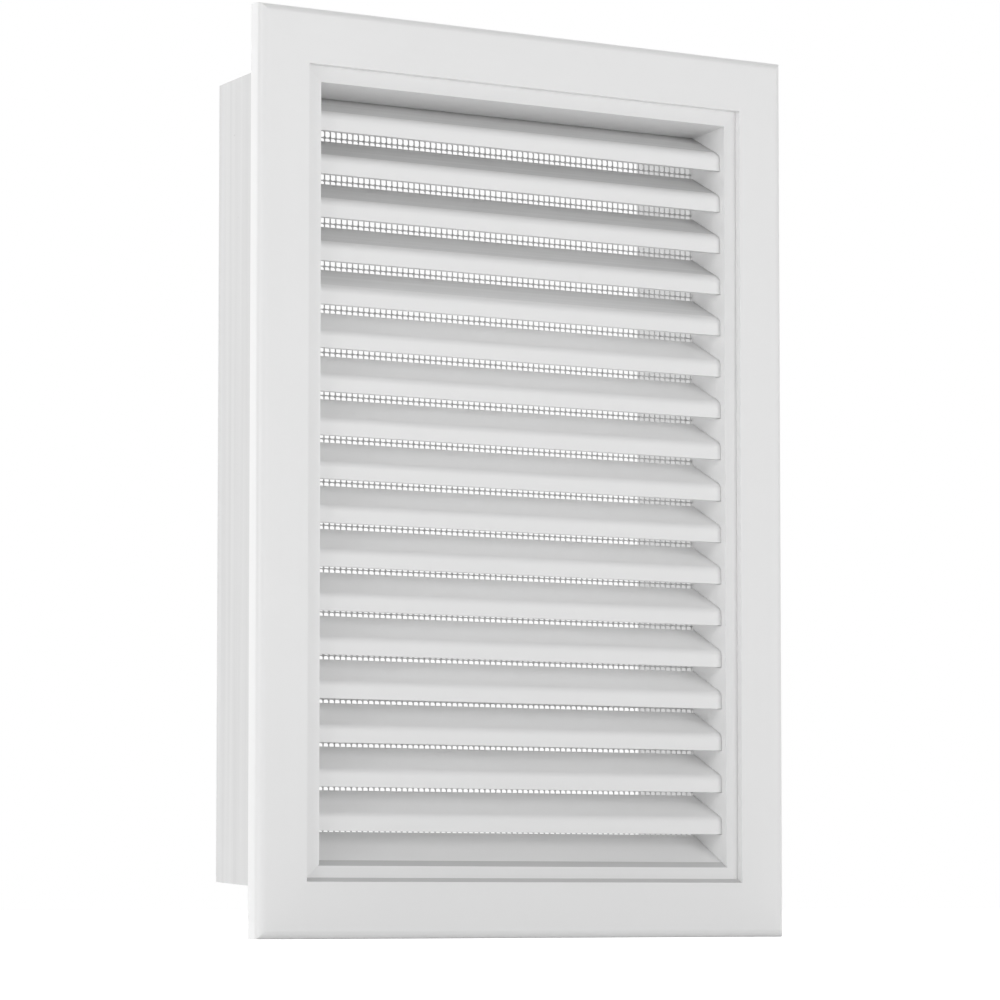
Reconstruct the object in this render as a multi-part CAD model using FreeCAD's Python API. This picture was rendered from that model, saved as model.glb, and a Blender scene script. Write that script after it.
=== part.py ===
import FreeCAD, Part
import math
import os
from FreeCAD import Vector

# Rectangular louvered gable vent in white PVC, for a 12 x 18 inch wall opening.
# Sizes are millimetres. +X is to the right, +Y goes back into the wall, +Z is up.
# The origin is the centre of the vent, on the plane of the flange's back face.

# Sleeve, the box that goes into the wall
SLEEVE_WIDTH = 303.0
SLEEVE_HEIGHT = 452.0
SLEEVE_DEPTH = 82.5
SLEEVE_TAPER = 4.8
SLEEVE_WALL = 5.0

# Flange, the flat trim that covers the edge of the opening
FLANGE_LAP = 26.0
FLANGE_THICKNESS = 10.5
FLANGE_ROUND = 4.2

# Stepped recess round the louvers
REVEAL_THICKNESS = 14.0
LEDGE_WIDTH = 9.3
LEDGE_DEPTH = 3.9
LEDGE_RISE = 1.3
SILL_LEDGE_WIDTH = 8.6
SILL_FALL = 2.2
HEAD_NOSE_DEPTH = 26.6
HEAD_GAP = 0.9
HEAD_CLEARANCE = 0.6

# Louvers
LOUVER_COUNT = 17
LOUVER_SETBACK = 2.9
LOUVER_DEPTH = 26.7
LOUVER_FACE = 9.1
LOUVER_THICKNESS = 2.0
LOUVER_BEND_RADIUS = 4.6
LOUVER_LIP_DEPTH = 4.5
LOUVER_LIP_THICKNESS = 1.4
LOUVER_THROAT = 1.4
LOUVER_HEADROOM = 3.0
LAST_EDGE_ABOVE_SILL = 18.9
SILL_NOSE = 0.8
SILL_THROAT = 0.3

# Housings in the jambs that hold the louver ends
HOUSING_DEPTH = 3.0
HOUSING_GAP = 0.15
END_GAP = 0.25

# Insect screen and its staples
SCREEN_GAP = 0.5
SCREEN_THICKNESS = 1.2
SCREEN_LAP = 5.5
SCREEN_COLUMNS = 7
SELVEDGE = 3.0
SCREEN_BAR = 3.8
STAPLE_CROWN = 5.4
STAPLE_WIDTH = 1.2
STAPLE_WIRE = 0.6
STAPLE_LEG = 5.0
STAPLE_ABOVE_EDGE = 2.5
JAMB_STAPLE_COUNT = 5
HEAD_STAPLE_COUNT = 4

# Depths along Y
FLANGE_FRONT = -FLANGE_THICKNESS
LEDGE_FRONT = FLANGE_FRONT + LEDGE_DEPTH
RIM_FRONT = LEDGE_FRONT - LEDGE_RISE
HEAD_NOSE_Y = LEDGE_FRONT + HEAD_NOSE_DEPTH
LOUVER_FRONT = LEDGE_FRONT + LOUVER_SETBACK
LOUVER_BACK = LOUVER_FRONT + LOUVER_DEPTH
SHOULDER = LOUVER_BACK + SCREEN_GAP
SCREEN_BACK = SHOULDER + SCREEN_THICKNESS

# Distances inward from the flange's outer edge
REVEAL = FLANGE_LAP + REVEAL_THICKNESS
LEDGE = REVEAL - LEDGE_WIDTH
SILL_RIM = LEDGE + SILL_LEDGE_WIDTH
SILL_TOP = SILL_RIM + SILL_FALL

# Overall and clear sizes
FLANGE_WIDTH = SLEEVE_WIDTH + 2 * FLANGE_LAP
FLANGE_HEIGHT = SLEEVE_HEIGHT + 2 * FLANGE_LAP
CLEAR_HALF_WIDTH = FLANGE_WIDTH / 2 - REVEAL
CLEAR_HALF_HEIGHT = FLANGE_HEIGHT / 2 - REVEAL
SILL_RIM_Z = SILL_RIM - FLANGE_HEIGHT / 2
SILL_TOP_Z = SILL_TOP - FLANGE_HEIGHT / 2

# Louver spacing: each louver's back end stops a throat's height below the edge of the next
# one up, and the first louver's back end keeps its headroom below the head.
LAST_EDGE_Z = SILL_RIM_Z + LAST_EDGE_ABOVE_SILL
LOUVER_SPAN = CLEAR_HALF_HEIGHT - LOUVER_HEADROOM + LOUVER_THROAT - LAST_EDGE_Z
LOUVER_PITCH = LOUVER_SPAN / LOUVER_COUNT
LOUVER_HEIGHT = LOUVER_PITCH - LOUVER_THROAT
FIRST_EDGE_Z = LAST_EDGE_Z + LOUVER_PITCH * (LOUVER_COUNT - 1)
SLOPE = math.atan2(LOUVER_HEIGHT - LOUVER_FACE, LOUVER_DEPTH)
SILL_BACK_Z = LAST_EDGE_Z - SILL_THROAT

# The head's underside falls to a nose that keeps a gap above the first louver's slope, and
# behind the nose it is cut back to clear that louver's end.
NOSE_SLOPE_Z = FIRST_EDGE_Z + LOUVER_FACE + (HEAD_NOSE_Y - LOUVER_FRONT) * math.tan(SLOPE)
HEAD_NOSE_FALL = CLEAR_HALF_HEIGHT - NOSE_SLOPE_Z - HEAD_GAP
HEAD_BACK_FALL = LOUVER_HEADROOM - HEAD_CLEARANCE


def line(start, end):
    return Part.LineSegment(Vector(*start), Vector(*end)).toShape()


def arc(start, middle, end):
    return Part.Arc(Vector(*start), Vector(*middle), Vector(*end)).toShape()


def polygon(points):
    """A flat face with straight sides through the points."""
    corners = [Vector(*point) for point in points]
    return Part.Face(Part.makePolygon(corners + corners[:1]))


def prism(face, length, start=0.0):
    """The face, moved along X to start and drawn out along X by length."""
    solid = face.extrude(Vector(length, 0, 0))
    solid.translate(Vector(start, 0, 0))
    return solid


def box(low, high):
    size = [high[i] - low[i] for i in range(3)]
    return Part.makeBox(*size, Vector(*low))


def sleeve_outside(depth):
    """How far the sleeve's tapered outside lies inward from the flange's edge at this depth."""
    return FLANGE_LAP + SLEEVE_TAPER * depth / SLEEVE_DEPTH


# Frame members. A section is drawn at X = 0 for a member whose outer edge faces up:
# u is the distance inward from the flange's outer edge.
def member_section(inner_profile):
    """The section of one frame member, with its own profile from flange face to shoulder."""
    def at(u, y):
        return (0.0, y, -u)

    inside = SLEEVE_WALL
    profile = [(FLANGE_ROUND, FLANGE_FRONT)] + inner_profile + [
        (sleeve_outside(SHOULDER) + inside, SHOULDER),
        (sleeve_outside(SLEEVE_DEPTH) + inside, SLEEVE_DEPTH),
        (sleeve_outside(SLEEVE_DEPTH), SLEEVE_DEPTH),
        (FLANGE_LAP, 0.0),
        (0.0, 0.0),
        (0.0, FLANGE_FRONT + FLANGE_ROUND),
    ]
    edges = [line(at(*a), at(*b)) for a, b in zip(profile, profile[1:])]
    corner = FLANGE_ROUND * (1 - math.sqrt(0.5))
    edges.append(arc(at(*profile[-1]), at(corner, FLANGE_FRONT + corner), at(*profile[0])))
    return Part.Face(Part.Wire(edges))


# The ledge round the louvers leans forward, so that its inner rim stands proud of its root.
JAMB_PROFILE = [
    (LEDGE, FLANGE_FRONT),
    (LEDGE, LEDGE_FRONT),
    (REVEAL, RIM_FRONT),
    (REVEAL, SHOULDER),
]

HEAD_PROFILE = [
    (LEDGE, FLANGE_FRONT),
    (LEDGE, LEDGE_FRONT),
    (REVEAL, RIM_FRONT),
    (REVEAL + HEAD_NOSE_FALL, HEAD_NOSE_Y),
    (REVEAL + HEAD_BACK_FALL, HEAD_NOSE_Y),
    (REVEAL + HEAD_BACK_FALL, SHOULDER),
]

# Both steps of the sill fall to the front, so that they drain. The upper one ends in a small
# lip, flush with the sill blade behind it.
SILL_PROFILE = [
    (LEDGE, FLANGE_FRONT),
    (LEDGE + SILL_FALL, LEDGE_FRONT),
    (SILL_RIM, RIM_FRONT),
    (SILL_TOP + SILL_NOSE, LOUVER_FRONT - HOUSING_GAP),
    (SILL_TOP, LOUVER_FRONT - HOUSING_GAP),
    (SILL_TOP, SHOULDER),
]


def member(profile, length, angle, distance):
    """A member cut to a mitre at each end, turned to its side of the frame."""
    half = length / 2
    reach = REVEAL + FLANGE_THICKNESS
    blank = prism(member_section(profile), length, -half)
    mitred = polygon([
        (-half, FLANGE_FRONT, 0),
        (half, FLANGE_FRONT, 0),
        (half - REVEAL, FLANGE_FRONT, -REVEAL),
        (half - REVEAL, FLANGE_FRONT, -REVEAL - reach),
        (REVEAL - half, FLANGE_FRONT, -REVEAL - reach),
        (REVEAL - half, FLANGE_FRONT, -REVEAL),
    ])
    # Behind the shoulder the mitre runs on to clear the inside of the sleeve wall.
    outline = mitred.extrude(Vector(0, SHOULDER - FLANGE_FRONT, 0))
    depth = SLEEVE_DEPTH - SHOULDER
    inward = sleeve_outside(SLEEVE_DEPTH) + SLEEVE_WALL + FLANGE_THICKNESS
    sleeve_cut = polygon([
        (-half, SHOULDER, 0),
        (half, SHOULDER, 0),
        (half - inward, SHOULDER, -inward),
        (inward - half, SHOULDER, -inward),
    ]).extrude(Vector(0, depth, 0))
    solid = blank.common(outline.fuse(sleeve_cut)).removeSplitter()
    solid.translate(Vector(0, 0, distance))
    solid.rotate(Vector(0, 0, 0), Vector(0, 1, 0), angle)
    return solid


# Louver section: a plumb face with a lip turned back along its foot, a bend, and a blade that
# slopes up to the screen.
def louver_face(edge_z, gap=0.0):
    """The section of a louver whose front edge is at edge_z, grown all round by gap."""
    tangent = LOUVER_BEND_RADIUS * math.tan((math.pi / 2 - SLOPE) / 2)
    centre_y = LOUVER_FRONT + LOUVER_BEND_RADIUS
    centre_z = edge_z + LOUVER_FACE - tangent
    back_y = LOUVER_BACK + gap
    bottom_z = edge_z - gap
    lip_y = LOUVER_FRONT + LOUVER_LIP_DEPTH + gap
    lip_z = edge_z + LOUVER_LIP_THICKNESS + gap

    def at(radius, angle):
        return (0.0, centre_y + radius * math.cos(angle), centre_z + radius * math.sin(angle))

    def side(radius):
        """Foot, start, middle and end of the bend, and the blade's back end, at one radius."""
        bend_end = at(radius, math.pi / 2 + SLOPE)
        middle = at(radius, (math.pi + math.pi / 2 + SLOPE) / 2)
        foot = (0.0, centre_y - radius, bottom_z)
        back = (0.0, back_y, bend_end[2] + (back_y - bend_end[1]) * math.tan(SLOPE))
        return foot, at(radius, math.pi), middle, bend_end, back

    foot, start, middle, end, back = side(LOUVER_BEND_RADIUS + gap)
    inner_radius = LOUVER_BEND_RADIUS - LOUVER_THICKNESS - gap
    foot_in, start_in, middle_in, end_in, back_in = side(inner_radius)
    root = (0.0, foot_in[1], lip_z)
    lip_top = (0.0, lip_y, lip_z)
    lip_bottom = (0.0, lip_y, bottom_z)
    return Part.Face(Part.Wire([
        line(foot, start),
        arc(start, middle, end),
        line(end, back),
        line(back, back_in),
        line(back_in, end_in),
        arc(end_in, middle_in, start_in),
        line(start_in, root),
        line(root, lip_top),
        line(lip_top, lip_bottom),
        line(lip_bottom, foot),
    ]))


def sill_blade_face(gap=0.0):
    """The section of the sloped blade that closes the vent above the sill, grown by gap."""
    rise = SILL_BACK_Z - SILL_TOP_Z - SILL_NOSE
    slope = math.atan2(rise, LOUVER_DEPTH)
    front_y = LOUVER_FRONT - gap
    back_y = LOUVER_BACK + gap
    seat_z = SILL_TOP_Z - gap

    def top_z(y):
        return SILL_TOP_Z + SILL_NOSE + (y - LOUVER_FRONT) * math.tan(slope) + gap / math.cos(slope)

    drop = (LOUVER_THICKNESS + 2 * gap) / math.cos(slope)
    underside_y = LOUVER_BACK + gap - (top_z(back_y) - drop - seat_z) / math.tan(slope)
    return polygon([
        (0.0, front_y, seat_z),
        (0.0, front_y, top_z(front_y)),
        (0.0, back_y, top_z(back_y)),
        (0.0, back_y, top_z(back_y) - drop),
        (0.0, underside_y, seat_z),
    ])


def louver_edges():
    return [FIRST_EDGE_Z - LOUVER_PITCH * i for i in range(LOUVER_COUNT)]


# Insect screen: a thin sheet with a selvedge and bars that lie behind the louvers.
SCREEN_HALF_WIDTH = CLEAR_HALF_WIDTH + SCREEN_LAP
SCREEN_HALF_HEIGHT = CLEAR_HALF_HEIGHT + SCREEN_LAP


def screen_rows():
    """Lowest and highest Z of each row of gaps, from the top down."""
    bar_centres = [edge - (LOUVER_FACE + LOUVER_THROAT) for edge in louver_edges()[:-1]]
    tops = [SCREEN_HALF_HEIGHT - SELVEDGE] + [z - SCREEN_BAR / 2 for z in bar_centres]
    bottoms = [z + SCREEN_BAR / 2 for z in bar_centres] + [SELVEDGE - SCREEN_HALF_HEIGHT]
    return list(zip(bottoms, tops))


def screen_columns():
    """Lowest and highest X of each column of gaps, from the left."""
    pitch = 2 * (SCREEN_HALF_WIDTH - SELVEDGE) + SCREEN_BAR
    pitch /= SCREEN_COLUMNS
    starts = [SELVEDGE - SCREEN_HALF_WIDTH + pitch * i for i in range(SCREEN_COLUMNS)]
    return [(start, start + pitch - SCREEN_BAR) for start in starts]


def make_screen():
    sheet = box((-SCREEN_HALF_WIDTH, SHOULDER, -SCREEN_HALF_HEIGHT),
                (SCREEN_HALF_WIDTH, SCREEN_BACK, SCREEN_HALF_HEIGHT))
    gaps = [box((x_low, SHOULDER, z_low), (x_high, SCREEN_BACK, z_high))
            for x_low, x_high in screen_columns() for z_low, z_high in screen_rows()]
    return sheet.cut(gaps)


# Staples straddle the selvedge: one leg goes through a gap and one goes outside the edge.
def staple():
    """A staple across the top edge of the screen, centred on that edge's selvedge at X = 0."""
    half = STAPLE_CROWN / 2
    side = STAPLE_WIDTH / 2
    tip = SHOULDER - STAPLE_LEG
    inner = half - STAPLE_WIRE
    crown_back = SCREEN_BACK + STAPLE_WIRE
    whole = box((-side, tip, -half), (side, crown_back, half))
    inside = box((-side, tip, -inner), (side, SCREEN_BACK, inner))
    return whole.cut(inside)


def spread(places, count):
    """The given number of the places, from the first to the last, as evenly as they allow."""
    return [places[round(i * (len(places) - 1) / (count - 1))] for i in range(count)]


def staple_spots():
    """Angle about Y, distance of the selvedge from the centre, and place along the edge."""
    columns = spread([sum(span) / 2 for span in screen_columns()], HEAD_STAPLE_COUNT)
    rows = spread([edge + STAPLE_ABOVE_EDGE for edge in louver_edges()], JAMB_STAPLE_COUNT)
    high = SCREEN_HALF_HEIGHT - SELVEDGE / 2
    wide = SCREEN_HALF_WIDTH - SELVEDGE / 2
    spots = {"head": [], "sill": [], "left": [], "right": []}
    for x in columns:
        spots["head"].append((0, high, x))
        spots["sill"].append((180, high, -x))
    for z in rows:
        spots["right"].append((90, wide, -z))
        spots["left"].append((-90, wide, z))
    return spots


def placed_staple(spot):
    angle, distance, along = spot
    solid = staple()
    solid.translate(Vector(along, 0, distance))
    solid.rotate(Vector(0, 0, 0), Vector(0, 1, 0), angle)
    return solid


STAPLES = staple_spots()


def stapled(solid, side):
    """The member with a slot for each leg that is driven into it."""
    return solid.cut([placed_staple(spot) for spot in STAPLES[side]])


def jamb(angle, side):
    """A jamb with a housing for the end of each louver."""
    sign = 1 if angle > 0 else -1
    start = sign * CLEAR_HALF_WIDTH
    faces = [louver_face(edge, HOUSING_GAP) for edge in louver_edges()]
    faces.append(sill_blade_face(HOUSING_GAP))
    housings = [prism(face, sign * HOUSING_DEPTH, start) for face in faces]
    solid = member(JAMB_PROFILE, FLANGE_HEIGHT, angle, FLANGE_WIDTH / 2)
    return stapled(solid.cut(housings), side)


def blade(face):
    """A blade as long as the clear width and its two ends in the jambs."""
    reach = CLEAR_HALF_WIDTH + HOUSING_DEPTH - END_GAP
    return prism(face, 2 * reach, -reach)


parts = {
    "frame_head": stapled(member(HEAD_PROFILE, FLANGE_WIDTH, 0, FLANGE_HEIGHT / 2), "head"),
    "frame_sill": stapled(member(SILL_PROFILE, FLANGE_WIDTH, 180, FLANGE_HEIGHT / 2), "sill"),
    "frame_jamb_left": jamb(-90, "left"),
    "frame_jamb_right": jamb(90, "right"),
    "sill_blade": blade(sill_blade_face()),
    "insect_screen": make_screen(),
    "screen_staples": Part.Compound([placed_staple(s) for side in STAPLES.values() for s in side]),
}
for number, edge in enumerate(louver_edges(), start=1):
    parts["louver_%02d" % number] = blade(louver_face(edge))

os.makedirs("parts", exist_ok=True)
for name, shape in parts.items():
    if len(shape.Solids) == 1:
        shape = shape.Solids[0]
    shape.exportStep(os.path.join("parts", name + ".step"))
    print(name, "solids", len(shape.Solids), "valid", shape.isValid(), "mm3", round(shape.Volume))
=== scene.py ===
import math
import bmesh
import bpy
from mathutils import Matrix, Vector


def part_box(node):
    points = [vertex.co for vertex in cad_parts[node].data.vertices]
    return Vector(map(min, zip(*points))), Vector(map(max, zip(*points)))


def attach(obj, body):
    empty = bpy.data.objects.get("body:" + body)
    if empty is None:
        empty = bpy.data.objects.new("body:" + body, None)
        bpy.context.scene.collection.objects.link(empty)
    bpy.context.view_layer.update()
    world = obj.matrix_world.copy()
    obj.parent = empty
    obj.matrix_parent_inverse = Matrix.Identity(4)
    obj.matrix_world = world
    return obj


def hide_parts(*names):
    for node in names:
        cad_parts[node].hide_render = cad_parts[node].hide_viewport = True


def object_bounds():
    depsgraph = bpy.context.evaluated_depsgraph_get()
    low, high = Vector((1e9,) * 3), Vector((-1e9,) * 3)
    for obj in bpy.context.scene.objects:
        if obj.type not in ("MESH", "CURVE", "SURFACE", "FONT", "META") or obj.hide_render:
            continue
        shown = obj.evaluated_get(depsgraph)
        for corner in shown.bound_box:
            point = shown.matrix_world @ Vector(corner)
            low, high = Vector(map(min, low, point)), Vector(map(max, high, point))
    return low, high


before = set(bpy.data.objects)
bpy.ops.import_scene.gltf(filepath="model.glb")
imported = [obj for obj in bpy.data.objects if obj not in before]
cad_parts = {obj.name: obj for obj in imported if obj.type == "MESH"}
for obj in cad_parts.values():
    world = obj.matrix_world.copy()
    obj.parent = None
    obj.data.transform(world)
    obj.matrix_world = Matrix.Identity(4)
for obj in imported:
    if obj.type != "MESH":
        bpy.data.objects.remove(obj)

cad_low, cad_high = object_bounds()
scene = bpy.context.scene


# Frame: four lengths of smooth white PVC profile, mitred and welded at the corners. The outside
# of the sleeve and all that looks back have a greyer skin, with faint lines and a few specks; the
# skin's grey is partly painted shade. The sill's two steps, which look up, carry a painted shade.
FRAME_WHITE = (0.84, 0.84, 0.84)
FRAME_ROUGHNESS = 0.42
FRAME_CLOUDS = 0.005
FRAME_LINES = 0.002
CLOUD_SCALE = 9.0
CLOUD_DULLING = 0.05
LINE_SCALE = 260.0
LINE_STRETCH = 0.012
LINE_RELIEF = 0.3
NOISE_SPAN = (0.3, 0.7)
# The skin's grey is partly its own and partly painted shade on the sleeve behind the flange.
SKIN_GREY_AND_SHADE = -0.24
SKIN_CLOUDS = 0.020
SKIN_LINES = 0.030
SKIN_DULLING = 0.12
SKIN_STARTS = (0.0002, 0.0010)
SKIN_OUTWARD = (0.08, 0.10)
SKIN_BACKWARD = (0.6, 0.8)
SPECK_TONE = 0.16
SPECK_SCALE = 110.0
SPECK_REACH = (0.02, 0.08)
SPECK_PATCH_SCALE = 37.0
SPECK_PATCH_LEVEL = 0.62
# Painted shade on the sill's two steps that look up, in front of the louvers.
PAINTED_SHADE_TONE = 0.32
PAINTED_SHADE_UPWARD = (0.5, 0.7)
PAINTED_SHADE_ENDS = -0.0035
PEEL_SCALE = 900.0
PEEL_HEIGHT = 0.00003
PEEL_STRENGTH = 0.5


def new_group(name, inputs, outputs):
    """An empty shader group with the named sockets, and its input and output nodes."""
    group = bpy.data.node_groups.new(name, "ShaderNodeTree")
    for label, kind, value in inputs:
        socket = group.interface.new_socket(label, in_out="INPUT", socket_type=kind)
        socket.default_value = value
    for label, kind in outputs:
        group.interface.new_socket(label, in_out="OUTPUT", socket_type=kind)
    return group, group.nodes.new("NodeGroupInput"), group.nodes.new("NodeGroupOutput")


def feed(tree, socket, value):
    """Sets a node's input to a plain value, or links another node's output to it."""
    if isinstance(value, (float, tuple)):
        socket.default_value = value
    else:
        tree.links.new(value, socket)


def noise(tree, vector, scale, detail):
    node = tree.nodes.new("ShaderNodeTexNoise")
    feed(tree, node.inputs["Vector"], vector)
    feed(tree, node.inputs["Scale"], scale)
    feed(tree, node.inputs["Detail"], detail)
    return node.outputs["Fac"]


def ramp(tree, value, span, low=0.0, high=1.0):
    """Goes evenly from low to high while the value goes through the span."""
    node = tree.nodes.new("ShaderNodeMapRange")
    feed(tree, node.inputs["Value"], value)
    for label, number in zip(("From Min", "From Max", "To Min", "To Max"), (*span, low, high)):
        feed(tree, node.inputs[label], number)
    return node.outputs["Result"]


def math_node(tree, operation, total, *others):
    """Joins two or more values by the operation, from left to right."""
    for other in others:
        node = tree.nodes.new("ShaderNodeMath")
        node.operation = operation
        feed(tree, node.inputs[0], total)
        feed(tree, node.inputs[1], other)
        total = node.outputs["Value"]
    return total


def vector_node(tree, operation, first, second, output="Vector"):
    node = tree.nodes.new("ShaderNodeVectorMath")
    node.operation = operation
    feed(tree, node.inputs[0], first)
    feed(tree, node.inputs[1], second)
    return node.outputs[output]


def axes(tree, vector):
    """The vector's X, Y and Z."""
    node = tree.nodes.new("ShaderNodeSeparateXYZ")
    tree.links.new(vector, node.inputs["Vector"])
    return node.outputs


def make_pvc_group():
    """White PVC: faintly clouded and lined, with the greyer skin (partly painted shade), its specks, and
    painted shade on up-facing steps.
    """
    group, entry, leave = new_group(
        "pvc_surface",
        [("Color", "NodeSocketColor", (0.8, 0.8, 0.8, 1.0)),
         ("Position", "NodeSocketVector", (0.0, 0.0, 0.0)),
         ("Along", "NodeSocketVector", (0.0, 0.0, 0.0)),
         ("Normal", "NodeSocketVector", (0.0, 0.0, 0.0)),
         ("Roughness", "NodeSocketFloat", 0.4),
         ("Clouds", "NodeSocketFloat", 0.01),
         ("Lines", "NodeSocketFloat", 0.01),
         ("Painted Shade", "NodeSocketFloat", 0.0)],
        [("Color", "NodeSocketColor"),
         ("Roughness", "NodeSocketFloat"),
         ("Height", "NodeSocketFloat")])
    place = entry.outputs["Position"]
    normal = entry.outputs["Normal"]
    clouds = ramp(group, noise(group, place, CLOUD_SCALE, detail=3.0), NOISE_SPAN, -1.0, 1.0)
    lines = noise(group, entry.outputs["Along"], LINE_SCALE, detail=2.0)
    lines = ramp(group, lines, NOISE_SPAN, -1.0, 1.0)

    # The skin lies behind the flange, on the faces that look outward, and on those that look back.
    depth = axes(group, place)["Y"]
    facing = axes(group, normal)
    radial = vector_node(group, "MULTIPLY", place, (1.0, 0.0, 1.0))
    outward = vector_node(group, "DOT_PRODUCT", radial, normal, "Value")
    skin_and_shade = math_node(group, "MULTIPLY", ramp(group, depth, SKIN_STARTS), ramp(group, outward, SKIN_OUTWARD))
    skin_and_shade = math_node(group, "MAXIMUM", skin_and_shade, ramp(group, facing["Y"], SKIN_BACKWARD))

    cells = group.nodes.new("ShaderNodeTexVoronoi")
    cells.inputs["Scale"].default_value = SPECK_SCALE
    group.links.new(place, cells.inputs["Vector"])
    patches = noise(group, place, SPECK_PATCH_SCALE, detail=0.0)
    specks = math_node(group, "MULTIPLY", ramp(group, cells.outputs["Distance"], SPECK_REACH, 1.0, 0.0),
                       math_node(group, "GREATER_THAN", patches, SPECK_PATCH_LEVEL))
    # The skin's tone: lines, clouds and specks, and a grey that is partly painted shade.
    skin_grey_and_shade = math_node(group, "ADD", math_node(group, "MULTIPLY", lines, SKIN_LINES),
                          math_node(group, "MULTIPLY", clouds, SKIN_CLOUDS),
                          math_node(group, "MULTIPLY", specks, -SPECK_TONE), SKIN_GREY_AND_SHADE)

    # Painted shade darkens what looks up in front of the louvers.
    painted_shade = math_node(group, "MULTIPLY", ramp(group, facing["Z"], PAINTED_SHADE_UPWARD),
                     math_node(group, "LESS_THAN", depth, PAINTED_SHADE_ENDS), entry.outputs["Painted Shade"], -1.0)
    tone = math_node(group, "ADD", math_node(group, "MULTIPLY", clouds, entry.outputs["Clouds"]),
                     math_node(group, "MULTIPLY", lines, entry.outputs["Lines"]),
                     math_node(group, "MULTIPLY", skin_and_shade, skin_grey_and_shade), painted_shade, 1.0)
    scaled = group.nodes.new("ShaderNodeVectorMath")
    scaled.operation = "SCALE"
    group.links.new(entry.outputs["Color"], scaled.inputs[0])
    group.links.new(tone, scaled.inputs["Scale"])
    roughness = math_node(group, "ADD", math_node(group, "MULTIPLY", clouds, CLOUD_DULLING),
                          math_node(group, "MULTIPLY", skin_and_shade, SKIN_DULLING), entry.outputs["Roughness"])
    height = math_node(group, "ADD", noise(group, place, PEEL_SCALE, detail=2.0),
                       math_node(group, "MULTIPLY", lines, LINE_RELIEF))
    group.links.new(scaled.outputs["Vector"], leave.inputs["Color"])
    group.links.new(roughness, leave.inputs["Roughness"])
    group.links.new(height, leave.inputs["Height"])
    return group


PVC_GROUP = make_pvc_group()


def new_material(name, roughness, specular=0.5):
    """A material with a Principled shader whose plain numbers are set on its own sockets."""
    material = bpy.data.materials.new(name)
    material.use_nodes = True
    shader = material.node_tree.nodes["Principled BSDF"]
    shader.inputs["Roughness"].default_value = roughness
    shader.inputs["Specular IOR Level"].default_value = specular
    return material, material.node_tree, shader


def pvc_material(name, color, along, clouds, lines, painted_shade=0.0):
    """PVC whose fine lines run along the piece: along is the axis they follow."""
    material, tree, shader = new_material(name, FRAME_ROUGHNESS)
    place = tree.nodes.new("ShaderNodeTexCoord")
    stretch = tree.nodes.new("ShaderNodeMapping")
    stretch.inputs["Scale"].default_value = [LINE_STRETCH if axis == along else 1.0 for axis in "XYZ"]
    tree.links.new(place.outputs["Object"], stretch.inputs["Vector"])
    surface = tree.nodes.new("ShaderNodeGroup")
    surface.node_tree = PVC_GROUP
    surface.inputs["Color"].default_value = (*color, 1.0)
    surface.inputs["Roughness"].default_value = FRAME_ROUGHNESS
    surface.inputs["Clouds"].default_value = clouds
    surface.inputs["Lines"].default_value = lines
    surface.inputs["Painted Shade"].default_value = painted_shade
    tree.links.new(place.outputs["Object"], surface.inputs["Position"])
    tree.links.new(place.outputs["Normal"], surface.inputs["Normal"])
    tree.links.new(stretch.outputs["Vector"], surface.inputs["Along"])
    bump = tree.nodes.new("ShaderNodeBump")
    bump.inputs["Strength"].default_value = PEEL_STRENGTH
    bump.inputs["Distance"].default_value = PEEL_HEIGHT
    tree.links.new(surface.outputs["Height"], bump.inputs["Height"])
    tree.links.new(surface.outputs["Color"], shader.inputs["Base Color"])
    tree.links.new(surface.outputs["Roughness"], shader.inputs["Roughness"])
    tree.links.new(bump.outputs["Normal"], shader.inputs["Normal"])
    return material


def dress(node, material):
    """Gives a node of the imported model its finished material."""
    for slot in bpy.data.objects[node].material_slots:
        slot.material = material


JAMB_PVC = pvc_material("jamb_pvc", FRAME_WHITE, "Z", FRAME_CLOUDS, FRAME_LINES)
HEAD_PVC = pvc_material("head_pvc", FRAME_WHITE, "X", FRAME_CLOUDS, FRAME_LINES)
# The sill carries the painted shade on its up-facing steps.
SILL_PVC = pvc_material("sill_pvc", FRAME_WHITE, "X", FRAME_CLOUDS, FRAME_LINES, PAINTED_SHADE_TONE)
dress("frame_jamb_left", JAMB_PVC)
dress("frame_jamb_right", JAMB_PVC)
dress("frame_head", HEAD_PVC)
dress("frame_sill", SILL_PVC)


# Louvers: seventeen bent blades of white PVC sheet, each held by its ends in housings cut in
# the jambs, and the plain sloped blade that closes the bottom behind the sill.
LOUVER_WHITE = (0.84, 0.84, 0.84)
LOUVER_CLOUDS = 0.006
LOUVER_LINES = 0.004
LOUVER_PVC = pvc_material("louver_pvc", LOUVER_WHITE, "X", LOUVER_CLOUDS, LOUVER_LINES)
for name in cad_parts:
    if name.startswith("louver_"):
        dress(name, LOUVER_PVC)
dress("sill_blade", LOUVER_PVC)


# Insect screen: white plastic netting, painted light grey as shade, with its strands fused where
# they cross, in a flat border. It lies on the shoulder behind the louvers and is stapled there.
STRAND_RADIUS = 0.00036
STRAND_SIDES = 6
UPRIGHT_PITCH = 0.0037
LEVELS_PER_LOUVER = 6
LEVEL_ABOVE_FOOT = 0.0008
BORDER_WIDTH = 0.0030
BORDER_ROUND = 0.0002
SHARP_ANGLE = 0.5
JOINT_SIDES = 4
JOINT_REACH = 0.0011
JOINT_THICKNESS = 0.0007
# Painted shade: the white strands get a light grey that stands in for their shade.
NETTING_SHADED_DARK = (0.589, 0.589, 0.589)
NETTING_SHADED_LIGHT = (0.6448, 0.6448, 0.6448)
NETTING_ROUGHNESS = 0.45
NETTING_SCALE = 300.0

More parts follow.
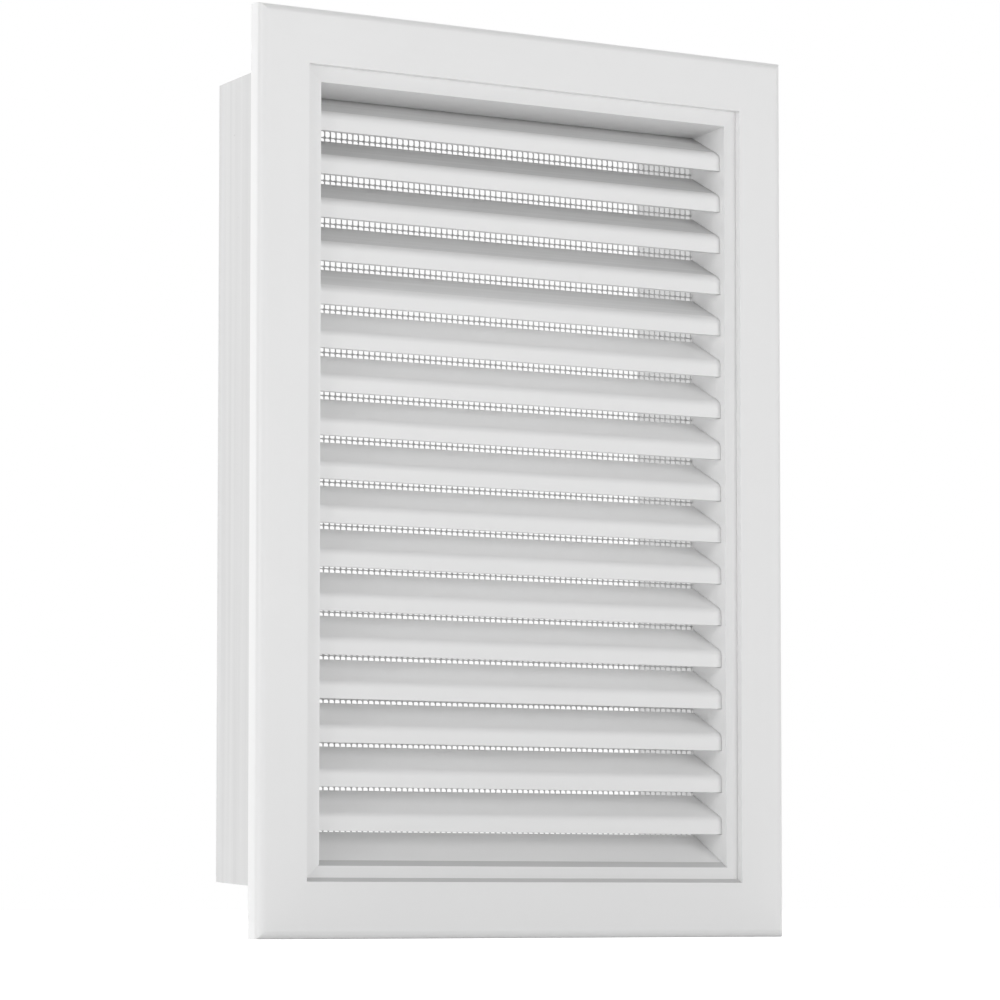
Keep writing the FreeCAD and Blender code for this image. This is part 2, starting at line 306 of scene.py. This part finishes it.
sideways = Vector((1.0, 0.0, 0.0))
upward = Vector((0.0, 0.0, 1.0))
screen_low, screen_high = [Vector(corner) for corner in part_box("insect_screen")]
screen_middle = (screen_low + screen_high) / 2
screen_size = screen_high - screen_low
strand_low = screen_low + (sideways + upward) * BORDER_WIDTH / 2
strand_run = screen_size - (sideways + upward) * BORDER_WIDTH


def strand_places(low, high, through, pitch):
    """Where strands lie between the two borders, with one that passes through a given place."""
    first = math.ceil((low + BORDER_WIDTH - through) / pitch)
    last = math.floor((high - BORDER_WIDTH - through) / pitch)
    return [through + pitch * i for i in range(first, last + 1)]


def only_verts(geometry):
    return [item for item in geometry if isinstance(item, bmesh.types.BMVert)]


def pushed_out(mesh, faces, vector):
    """The faces extruded by a vector; their vertices and those of the new end."""
    verts = {vert for face in faces for vert in face.verts}
    out = bmesh.ops.extrude_face_region(mesh, geom=faces)["geom"]
    ends = only_verts(out)
    bmesh.ops.translate(mesh, verts=ends, vec=vector)
    return list(verts.union(ends))


def rod(mesh, radius, sides, matrix, vector):
    """A rod with flat ends, extruded by a vector from a ring that the matrix places."""
    ring = bmesh.ops.create_circle(mesh, cap_ends=True, radius=radius, segments=sides, matrix=matrix)
    return pushed_out(mesh, ring["verts"][0].link_faces[:], vector)


def copied(mesh, verts, vector):
    """A copy of the shape that the vertices make, moved by a vector."""
    geometry = {item for vert in verts for item in (vert, *vert.link_edges, *vert.link_faces)}
    out = bmesh.ops.duplicate(mesh, geom=list(geometry))["geom"]
    verts = only_verts(out)
    bmesh.ops.translate(mesh, verts=verts, vec=vector)
    return verts


def row_of(mesh, verts, across, places):
    """The shape at the first place, copied to each of the others; all of its vertices."""
    row = list(verts)
    for place in places[1:]:
        row += copied(mesh, verts, across * (place - places[0]))
    return row


netting = bmesh.new()
standing = Matrix.Rotation(math.pi / 2, 4, "X")
lying = Matrix.Rotation(math.pi / 2, 4, "Y")
bmesh.ops.create_grid(netting, x_segments=1, y_segments=1, size=0.5, matrix=standing)
bmesh.ops.scale(netting, verts=netting.verts, vec=(screen_size.x, 1.0, screen_size.z))
border_place = (screen_middle.x, screen_low.y, screen_middle.z)
bmesh.ops.translate(netting, verts=netting.verts, vec=border_place)
bmesh.ops.inset_region(netting, faces=netting.faces, thickness=BORDER_WIDTH, use_even_offset=True)
opening = min(netting.faces, key=lambda face: (face.calc_center_median() - screen_middle).length)
bmesh.ops.delete(netting, geom=[opening], context="FACES_ONLY")
pushed_out(netting, list(netting.faces), Vector((0.0, screen_size.y, 0.0)))
rims = [edge for edge in netting.edges
        if len(edge.link_faces) == 2 and edge.calc_face_angle() > SHARP_ANGLE]
bmesh.ops.bevel(netting, geom=rims, offset=BORDER_ROUND, segments=1, profile=0.5,
                affect="EDGES", material=-1)

first_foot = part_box("louver_01")[0][2]
second_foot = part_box("louver_02")[0][2]
level_pitch = (first_foot - second_foot) / LEVELS_PER_LOUVER
first_level = first_foot + LEVEL_ABOVE_FOOT
uprights = strand_places(screen_low.x, screen_high.x, screen_middle.x, UPRIGHT_PITCH)
levels = strand_places(screen_low.z, screen_high.z, first_level, level_pitch)

place = Matrix.Translation((uprights[0], screen_low.y + STRAND_RADIUS, strand_low.z))
upright = rod(netting, STRAND_RADIUS, STRAND_SIDES, place, upward * strand_run.z)
row_of(netting, upright, sideways, uprights)
place = Matrix.Translation((strand_low.x, screen_high.y - STRAND_RADIUS, levels[0]))
level = rod(netting, STRAND_RADIUS, STRAND_SIDES, place @ lying, sideways * strand_run.x)
row_of(netting, level, upward, levels)
place = Matrix.Translation((uprights[0], screen_middle.y + JOINT_THICKNESS / 2, levels[0]))
through = Vector((0.0, -JOINT_THICKNESS, 0.0))
joint = rod(netting, JOINT_REACH, JOINT_SIDES, place @ standing, through)
row_of(netting, row_of(netting, joint, sideways, uprights), upward, levels)
bmesh.ops.recalc_face_normals(netting, faces=netting.faces)


def add_mesh(name, mesh, material):
    """Puts the finished mesh in the scene as an object at the origin."""
    data = bpy.data.meshes.new(name)
    mesh.to_mesh(data)
    mesh.free()
    data.materials.append(material)
    piece = bpy.data.objects.new(name, data)
    scene.collection.objects.link(piece)
    return piece


def make_mottle_group():
    """A tone that wavers softly between a dark one and a light one."""
    group, entry, leave = new_group(
        "mottled_tone",
        [("Dark", "NodeSocketColor", (0.5, 0.5, 0.5, 1.0)),
         ("Light", "NodeSocketColor", (0.6, 0.6, 0.6, 1.0)),
         ("Position", "NodeSocketVector", (0.0, 0.0, 0.0)),
         ("Scale", "NodeSocketFloat", 300.0)],
        [("Color", "NodeSocketColor")])
    waver = noise(group, entry.outputs["Position"], entry.outputs["Scale"], detail=2.0)
    mix = group.nodes.new("ShaderNodeMix")
    mix.data_type = "RGBA"
    feed(group, mix.inputs["Factor"], ramp(group, waver, NOISE_SPAN))
    feed(group, mix.inputs["A"], entry.outputs["Dark"])
    feed(group, mix.inputs["B"], entry.outputs["Light"])
    group.links.new(mix.outputs["Result"], leave.inputs["Color"])
    return group


MOTTLE_GROUP = make_mottle_group()


def mottled_material(name, dark, light, roughness, scale, metallic=0.0):
    """A material of two soft tones, for the netting's plastic and the staples' steel."""
    material, tree, shader = new_material(name, roughness)
    shader.inputs["Metallic"].default_value = metallic
    place = tree.nodes.new("ShaderNodeTexCoord")
    mottle = tree.nodes.new("ShaderNodeGroup")
    mottle.node_tree = MOTTLE_GROUP
    mottle.inputs["Dark"].default_value = (*dark, 1.0)
    mottle.inputs["Light"].default_value = (*light, 1.0)
    mottle.inputs["Scale"].default_value = scale
    tree.links.new(place.outputs["Object"], mottle.inputs["Position"])
    tree.links.new(mottle.outputs["Color"], shader.inputs["Base Color"])
    return material


NETTING = mottled_material("screen_netting", NETTING_SHADED_DARK, NETTING_SHADED_LIGHT, NETTING_ROUGHNESS, NETTING_SCALE)
screen_netting = add_mesh("screen_netting", netting, NETTING)
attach(screen_netting, "root")
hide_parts("insect_screen")


# Staples: flat bright wire staples, driven through the screen's edge into the shoulder. Their
# steel wavers a little between two greys.
STEEL_DARK = (0.55, 0.55, 0.56)
STEEL_LIGHT = (0.68, 0.68, 0.69)
STEEL_ROUGHNESS = 0.35
STEEL_SCALE = 900.0
STEEL = mottled_material("staple_steel", STEEL_DARK, STEEL_LIGHT, STEEL_ROUGHNESS, STEEL_SCALE, 1.0)
dress("screen_staples", STEEL)


# Studio: a pale floor under the flange, soft lamps round the vent, and a world that lights it
# at a lower level than the white that the camera sees.
FLOOR_SIZE = 12.0
FLOOR_WHITE = 0.90
FLOOR_ROUGHNESS = 0.9
FLOOR_GLOW = 0.72
WORLD_LEVEL = 0.385


def ray_mask(tree, *kinds):
    """1 for the rays of these kinds, and 0 for the rest."""
    paths = tree.nodes.new("ShaderNodeLightPath")
    return math_node(tree, "MAXIMUM", *[paths.outputs[kind] for kind in kinds])


floor_mesh = bmesh.new()
bmesh.ops.create_grid(floor_mesh, x_segments=1, y_segments=1, size=FLOOR_SIZE / 2)
bmesh.ops.translate(floor_mesh, verts=floor_mesh.verts, vec=(0.0, 0.0, cad_low.z))
floor_material, floor_tree, floor_shader = new_material("studio_floor", FLOOR_ROUGHNESS, 0.0)
floor_shader.inputs["Base Color"].default_value = (FLOOR_WHITE, FLOOR_WHITE, FLOOR_WHITE, 1.0)
floor_shader.inputs["Emission Color"].default_value = (1.0, 1.0, 1.0, 1.0)
floor_seen = ray_mask(floor_tree, "Is Camera Ray", "Is Glossy Ray")
floor_glow = math_node(floor_tree, "MULTIPLY", floor_seen, FLOOR_GLOW)
floor_tree.links.new(floor_glow, floor_shader.inputs["Emission Strength"])
floor = add_mesh("studio_floor", floor_mesh, floor_material)

world = bpy.data.worlds.new("studio_world")
scene.world = world
world.use_nodes = True
sky_tree = world.node_tree
sky = sky_tree.nodes["Background"]
sky.inputs["Color"].default_value = (1.0, 1.0, 1.0, 1.0)
sky_seen = ray_mask(sky_tree, "Is Camera Ray", "Is Glossy Ray", "Is Transmission Ray")
sky_level = math_node(sky_tree, "MULTIPLY", sky_seen, 1.0 - WORLD_LEVEL)
sky_level = math_node(sky_tree, "ADD", sky_level, WORLD_LEVEL)
sky_tree.links.new(sky_level, sky.inputs["Strength"])


def soft_lamp(name, place, size, power):
    """A square area lamp at a place, turned to face the origin."""
    data = bpy.data.lights.new(name, "AREA")
    data.size = size
    data.energy = power
    lamp = bpy.data.objects.new(name, data)
    lamp.location = place
    lamp.rotation_euler = (-Vector(place)).to_track_quat("-Z", "Y").to_euler()
    scene.collection.objects.link(lamp)


soft_lamp("front_lamp", (1.70, -4.68, 0.44), size=2.6, power=90.0)
soft_lamp("left_lamp", (-4.81, -1.29, 0.44), size=1.6, power=69.0)
soft_lamp("side_lamp", (-2.46, 4.26, 0.87), size=2.6, power=36.0)
soft_lamp("back_lamp", (0.0, 4.92, 0.87), size=2.6, power=55.0)
soft_lamp("high_lamp", (0.0, 3.54, 3.54), size=2.6, power=150.0)


# Camera: low and to the left of the vent, looking slightly up, as in the photograph.
CAMERA_PLACE = (-1.59518, -2.27364, -0.23080)
CAMERA_AZIMUTH = 34.821
CAMERA_PITCH = 4.564
CAMERA_LENS = 180.17
CAMERA_SENSOR = 36.0

camera_data = bpy.data.cameras.new("camera")
camera_data.lens = CAMERA_LENS
camera_data.sensor_width = CAMERA_SENSOR
camera = bpy.data.objects.new("camera", camera_data)
camera.location = CAMERA_PLACE
camera.rotation_euler = (math.radians(90.0 + CAMERA_PITCH), 0.0, math.radians(-CAMERA_AZIMUTH))
scene.collection.objects.link(camera)
scene.camera = camera
scene.view_settings.view_transform = "Standard"
